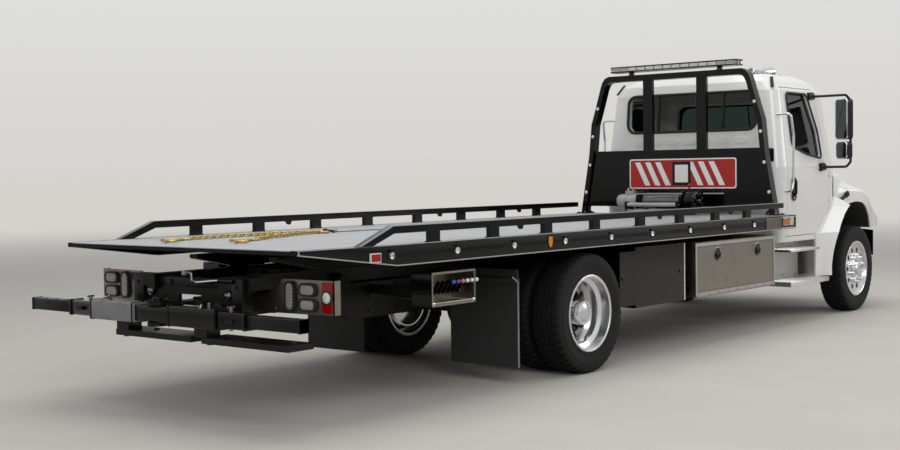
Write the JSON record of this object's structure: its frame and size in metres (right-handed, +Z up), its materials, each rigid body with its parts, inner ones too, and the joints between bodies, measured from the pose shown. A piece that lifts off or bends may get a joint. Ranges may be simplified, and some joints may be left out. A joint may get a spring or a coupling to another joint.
{
  "type": "flatbed tow truck",
  "caption": "Conventional day-cab flatbed tow truck with a sliding, tilting car carrier bed, cab guard, winch and rear wheel lift.",
  "frame": {"origin": "middle of the truck's box on the ground under the tyres", "axes": "+X forward along the truck, +Y to its left, +Z up"},
  "size_m": [9.6993, 2.6756, 2.65],
  "materials": {
    "white_paint": "gloss",
    "black_paint": "gloss",
    "grey_deck": "satin",
    "polished_aluminium": "gloss",
    "brushed_aluminium": "satin",
    "stainless": "satin",
    "cast_iron": "matte",
    "spring_steel": "matte",
    "tyre": "matte",
    "flap_rubber": "matte",
    "seat_cloth": "matte",
    "dash_plastic": "matte",
    "black_plastic": "gloss",
    "glass": "gloss",
    "chrome": "gloss",
    "rope_steel": "satin",
    "zinc_yellow": "satin",
    "lamp_plastic": "gloss"
  },
  "bodies": {
    "chassis": {"chassis_frame": "black_paint", "front_axle": "cast_iron", "rear_axle": "cast_iron", "leaf_springs": "spring_steel", "powertrain": "cast_iron", "tanks": "black_paint", "exhaust": "stainless", "front_bumper": "black_paint", "tow_eyes": "black_paint", "cab_shell": "white_paint", "cab_glass": "glass", "seats": "seat_cloth", "dashboard": "dash_plastic", "cab_steps": "brushed_aluminium", "grab_handles": "chrome", "mud_flaps": "flap_rubber", "control_stations": "stainless", "tool_boxes": "brushed_aluminium", "cab_fairings": "white_paint"},
    "hood": {"hood": "white_paint", "wheel_liners": "flap_rubber", "grille": "black_plastic", "headlamps": "lamp_plastic"},
    "tilt_frame": {"tilt_frame": "black_paint", "lamp_panels": "stainless"},
    "bed": {"bed_deck": "grey_deck", "bed_frame": "black_paint", "side_rails": "black_paint", "headboard": "black_paint", "lightbar": "lamp_plastic", "winch": "black_paint", "winch_rope": "rope_steel", "chain_bridle": "zinc_yellow"},
    "lift_boom": {"lift_boom": "black_paint"},
    "inner_boom": {"inner_boom": "black_paint"},
    "crossbar": {"crossbar": "black_paint", "wheel_arms": "black_paint"},
    "door_left": {"door_left": "white_paint", "door_glass_left": "glass", "mirror_left": "black_plastic"},
    "knuckle_left": {"knuckle_left": "cast_iron"},
    "front_wheel_left": {"front_rim_left": "polished_aluminium", "front_tyre_left": "tyre"},
    "rear_wheels_left": {"rear_rims_left": "polished_aluminium", "rear_tyres_left": "tyre"},
    "tool_box_door_left": {"tool_box_door_left": "brushed_aluminium"},
    "tilt_barrel_left": {"tilt_barrel_left": "black_paint"},
    "tilt_rod_left": {"tilt_rod_left": "chrome"},
    "door_right": {"door_right": "white_paint", "door_glass_right": "glass", "mirror_right": "black_plastic"},
    "knuckle_right": {"knuckle_right": "cast_iron"},
    "front_wheel_right": {"front_rim_right": "polished_aluminium", "front_tyre_right": "tyre"},
    "rear_wheels_right": {"rear_rims_right": "polished_aluminium", "rear_tyres_right": "tyre"},
    "tool_box_door_right": {"tool_box_door_right": "brushed_aluminium"},
    "tilt_barrel_right": {"tilt_barrel_right": "black_paint"},
    "tilt_rod_right": {"tilt_rod_right": "chrome"}
  },
  "joints": [
    {"name": "door_left", "type": "hinge", "parent": "chassis", "child": "door_left", "pos_m": [3.3205, 1.046, 1.6], "axis": [0, 0, -1], "range_deg": [0, 65]},
    {"name": "steer_left", "type": "hinge", "parent": "chassis", "child": "knuckle_left", "pos_m": [3.8285, 0.85, 0.465], "axis": [0, 0, 1], "range_deg": [-35, 35]},
    {"name": "front_wheel_left", "type": "hinge", "parent": "knuckle_left", "child": "front_wheel_left", "pos_m": [3.8285, 1.02, 0.465], "axis": [0, 1, 0], "continuous": true},
    {"name": "rear_wheels_left", "type": "hinge", "parent": "chassis", "child": "rear_wheels_left", "pos_m": [-1.5715, 0.92, 0.465], "axis": [0, 1, 0], "continuous": true},
    {"name": "tool_box_door_left", "type": "hinge", "parent": "chassis", "child": "tool_box_door_left", "pos_m": [0.9635, 1.153, 0.442], "axis": [-1, 0, 0], "range_deg": [0, 90]},
    {"name": "door_right", "type": "hinge", "parent": "chassis", "child": "door_right", "pos_m": [3.3205, -1.046, 1.6], "axis": [0, 0, 1], "range_deg": [0, 65]},
    {"name": "steer_right", "type": "hinge", "parent": "chassis", "child": "knuckle_right", "pos_m": [3.8285, -0.85, 0.465], "axis": [0, 0, 1], "range_deg": [-35, 35]},
    {"name": "front_wheel_right", "type": "hinge", "parent": "knuckle_right", "child": "front_wheel_right", "pos_m": [3.8285, -1.02, 0.465], "axis": [0, 1, 0], "continuous": true},
    {"name": "rear_wheels_right", "type": "hinge", "parent": "chassis", "child": "rear_wheels_right", "pos_m": [-1.5715, -0.92, 0.465], "axis": [0, 1, 0], "continuous": true},
    {"name": "tool_box_door_right", "type": "hinge", "parent": "chassis", "child": "tool_box_door_right", "pos_m": [0.9635, -1.153, 0.442], "axis": [1, 0, 0], "range_deg": [0, 90]},
    {"name": "hood_tilt", "type": "hinge", "parent": "chassis", "child": "hood", "pos_m": [4.7905, 0, 0.895], "axis": [0, 1, 0], "range_deg": [0, 65]},
    {"name": "bed_tilt", "type": "hinge", "parent": "chassis", "child": "tilt_frame", "pos_m": [-3.5515, 0, 0.845], "axis": [0, -1, 0], "range_deg": [0, 13]},
    {"name": "bed_slide", "type": "slide", "parent": "tilt_frame", "child": "bed", "axis": [-1, 0, 0], "range_m": [0, 3.35]},
    {"name": "boom_tilt", "type": "hinge", "parent": "tilt_frame", "child": "lift_boom", "pos_m": [-3.8715, 0, 0.69], "axis": [0, 1, 0], "range_deg": [-14, 0]},
    {"name": "boom_slide", "type": "slide", "parent": "lift_boom", "child": "inner_boom", "axis": [-1, 0, 0], "range_m": [0, 0.4]},
    {"name": "crossbar_swivel", "type": "hinge", "parent": "inner_boom", "child": "crossbar", "pos_m": [-4.7865, 0, 0.69], "axis": [0, 0, 1], "range_deg": [-10, 10]},
    {"name": "tilt_barrel_left", "type": "hinge", "parent": "chassis", "child": "tilt_barrel_left", "pos_m": [-0.6215, 0.215, 0.616], "axis": [0, -1, 0], "range_deg": [0, 34.97]},
    {"name": "tilt_rod_left", "type": "slide", "parent": "tilt_barrel_left", "child": "tilt_rod_left", "axis": [0.9958, 0, 0.0918], "range_m": [0, 0.3104]},
    {"name": "tilt_barrel_right", "type": "hinge", "parent": "chassis", "child": "tilt_barrel_right", "pos_m": [-0.6215, -0.215, 0.616], "axis": [0, -1, 0], "range_deg": [0, 34.97]},
    {"name": "tilt_rod_right", "type": "slide", "parent": "tilt_barrel_right", "child": "tilt_rod_right", "axis": [0.9958, 0, 0.0918], "range_m": [0, 0.3104]}
  ],
  "couplings": [
    {"joint": "steer_right", "follows": "steer_left", "ratio": 1},
    {"joint": "tilt_barrel_left", "follows": "bed_tilt", "ratio": 2.682},
    {"joint": "tilt_rod_left", "follows": "bed_tilt", "m_per_rad": 1.3637},
    {"joint": "tilt_barrel_right", "follows": "bed_tilt", "ratio": 2.682},
    {"joint": "tilt_rod_right", "follows": "bed_tilt", "m_per_rad": 1.3637}
  ]
}
